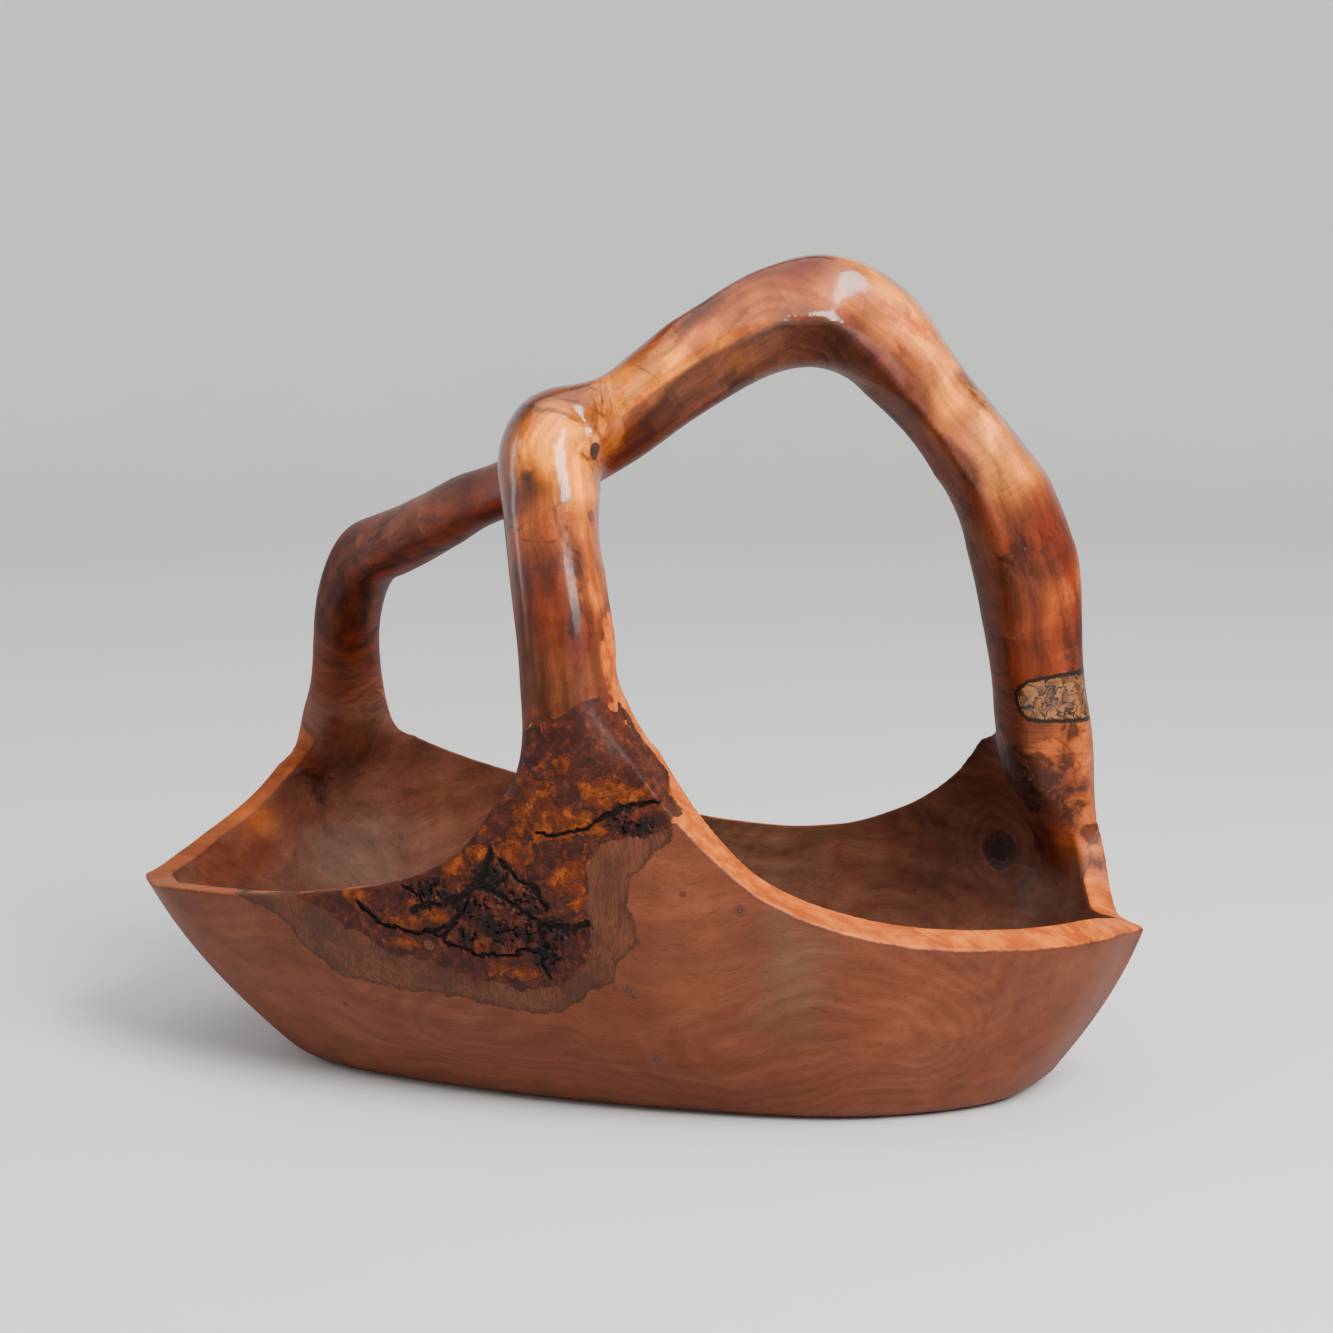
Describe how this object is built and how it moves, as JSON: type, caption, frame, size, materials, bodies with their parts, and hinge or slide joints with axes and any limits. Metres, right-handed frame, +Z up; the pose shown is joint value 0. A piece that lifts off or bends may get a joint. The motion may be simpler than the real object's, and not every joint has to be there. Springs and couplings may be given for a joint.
{
  "type": "yarn bowl",
  "caption": "Boat-shaped carved wooden bowl whose wall rises into a three-legged natural branch handle with a knuckle, an arched grip and encased knots.",
  "frame": {"origin": "on the table, under the middle of the flat base", "axes": "+X along the bowl towards the right end, -Y to the front where the thick leg stands, +Z up"},
  "size_m": [0.3704, 0.1932, 0.2951],
  "materials": {
    "bowl_wood": "satin oiled",
    "branch_wood": "gloss lacquer",
    "bark": "lacquered bark",
    "spalted_wood": "satin lacquer",
    "knot_wood": "satin lacquer"
  },
  "bodies": {
    "root": {"bowl": "bowl_wood", "front_leg": "branch_wood", "left_branch": "branch_wood", "crown_branch": "branch_wood", "right_leg": "branch_wood", "bark_pocket": "bark", "spalted_patch": "spalted_wood", "leg_bark": "bark", "wall_knot": "knot_wood", "knuckle_knot": "knot_wood", "pin_knot_left": "knot_wood", "pin_knot_middle": "knot_wood", "pin_knot_right": "knot_wood", "pin_knot_low": "knot_wood"}
  },
  "joints": []
}
